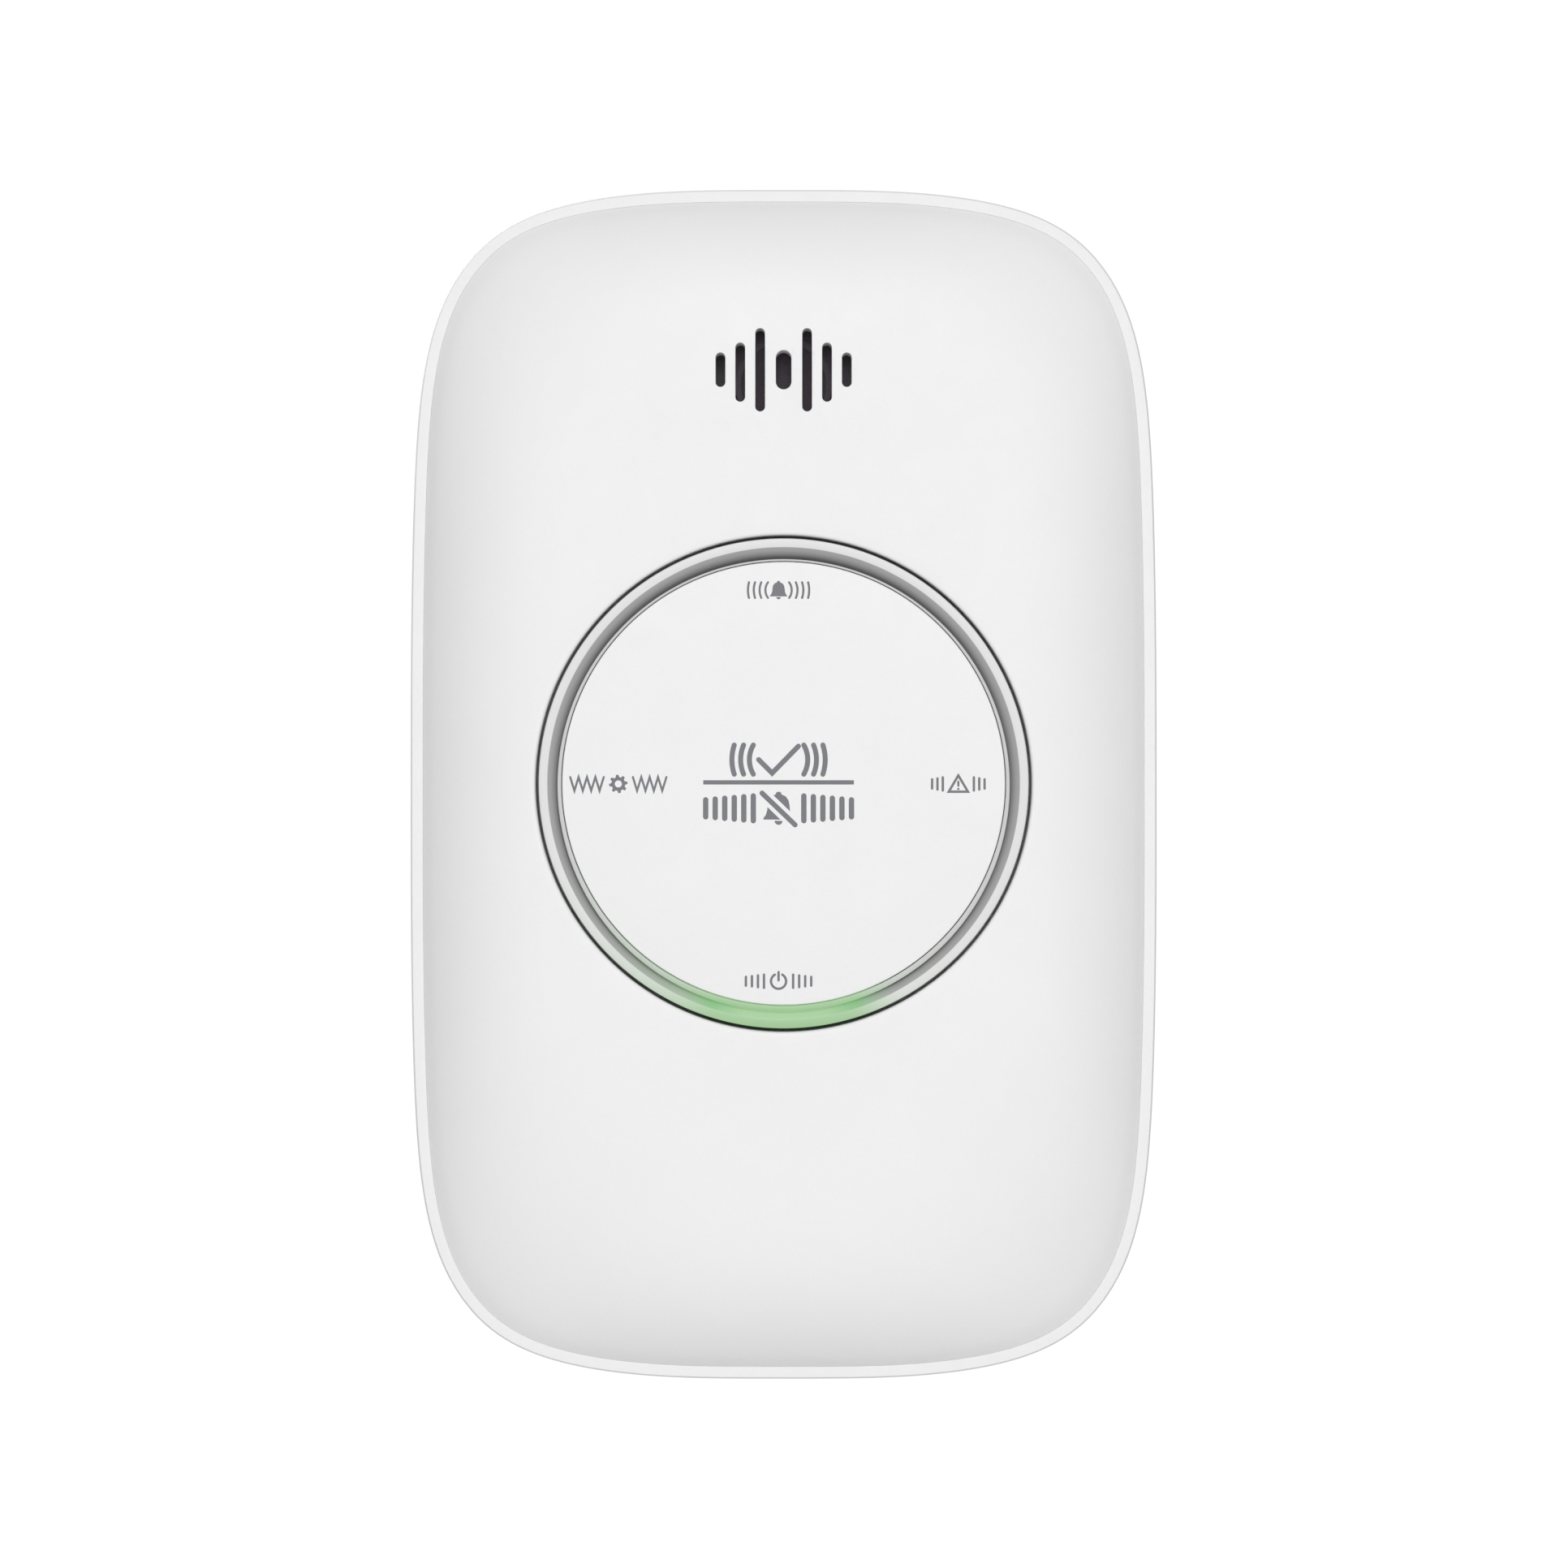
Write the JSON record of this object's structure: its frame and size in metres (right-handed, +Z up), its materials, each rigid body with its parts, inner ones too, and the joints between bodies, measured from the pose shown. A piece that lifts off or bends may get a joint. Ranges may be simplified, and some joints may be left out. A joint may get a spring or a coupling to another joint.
{
  "type": "carbon monoxide detector",
  "caption": "Upright wall-mounted carbon monoxide alarm with domed front, round test button in a light ring, sounder grille, slide-off wall plate and rear battery door.",
  "frame": {"origin": "on the wall, on the back face of the wall plate, level with the centre of the round test button", "axes": "+Z up, +X to the right as seen from the room, +Y into the wall, so the front faces -Y"},
  "size_m": [0.078, 0.034, 0.1244],
  "materials": {
    "white_plastic": "fine matte texture",
    "cap_plastic": "fine matte texture",
    "plate_plastic": "fine matte texture",
    "door_plastic": "fine matte texture",
    "light_guide": "translucent, satin",
    "white_frame": "matte",
    "spring_steel": "bright",
    "black_plastic": "matte",
    "grey_plastic": "matte",
    "red_led": "clear tinted",
    "amber_led": "clear tinted",
    "green_led": "clear tinted, lit",
    "yellow_led": "clear tinted",
    "circuit_board": "solder mask",
    "chip_black": "moulded",
    "chip_brown": "small ceramic parts",
    "capacitor": "sleeved can",
    "ferrite": "matte",
    "sensor_steel": "bright",
    "filter_grey": "felt",
    "gold_pins": "gold plated",
    "foam": "foam",
    "black_cloth": "woven cloth",
    "piezo_brass": "bare",
    "piezo_ceramic": "silvered ceramic",
    "lead_red": "insulation",
    "lead_black": "insulation",
    "cell_wrap": "printed sleeve",
    "contact_steel": "nickel plated",
    "connector_plastic": "matte",
    "screw_steel": "zinc plated",
    "label_paper": "blank"
  },
  "bodies": {
    "wall_plate": {"wall_plate": "plate_plastic"},
    "alarm_body": {"rear_housing": "white_plastic", "front_cover": "white_plastic", "button_guide": "white_frame", "return_springs": "spring_steel", "reflector_ring": "white_frame", "tact_switch": "black_plastic", "alarm_led": "red_led", "fault_led": "amber_led", "power_led": "green_led", "malfunction_led": "yellow_led", "main_pcb": "circuit_board", "microcontroller": "chip_black", "chip_components": "chip_brown", "electrolytic_capacitors": "capacitor", "step_up_coil": "ferrite", "co_sensor_can": "sensor_steel", "co_sensor_base": "black_plastic", "sensor_filter": "filter_grey", "sensor_pins": "gold_pins", "sounder_housing": "black_plastic", "sounder_gasket": "foam", "port_cloth": "black_cloth", "piezo_plate": "piezo_brass", "piezo_ceramic": "piezo_ceramic", "sounder_leads": "lead_red", "battery_upper": "cell_wrap", "battery_lower": "cell_wrap", "contact_bridge": "contact_steel", "contact_positive": "contact_steel", "contact_negative": "contact_steel", "contact_springs": "spring_steel", "battery_lead_red": "lead_red", "battery_lead_black": "lead_black", "lead_connector": "connector_plastic", "case_screws": "screw_steel", "pcb_screws": "screw_steel", "rating_label": "label_paper"},
    "test_button": {"button_cap": "cap_plastic", "light_ring": "light_guide"},
    "switch_plunger": {"tact_plunger": "grey_plastic"},
    "door": {"battery_door": "door_plastic"}
  },
  "joints": [
    {"name": "lift_off", "type": "slide", "parent": "wall_plate", "child": "alarm_body", "axis": [0, 0, 1], "range_m": [0, 0.11]},
    {"name": "button_press", "type": "slide", "parent": "alarm_body", "child": "test_button", "axis": [0, 1, 0], "range_m": [0, 0.0008], "stiffness_N_per_m": 2000, "springref_m": -0.0005, "deforming": ["return_springs"]},
    {"name": "plunger_press", "type": "slide", "parent": "alarm_body", "child": "switch_plunger", "axis": [0, 1, 0], "range_m": [0, 0.00025]},
    {"name": "battery_door_hinge", "type": "hinge", "parent": "alarm_body", "child": "door", "pos_m": [0, -0.0046, -0.0495], "axis": [-1, 0, 0], "range_deg": [0, 100]}
  ],
  "couplings": [
    {"joint": "plunger_press", "follows": "button_press", "ratio": 0.3}
  ]
}
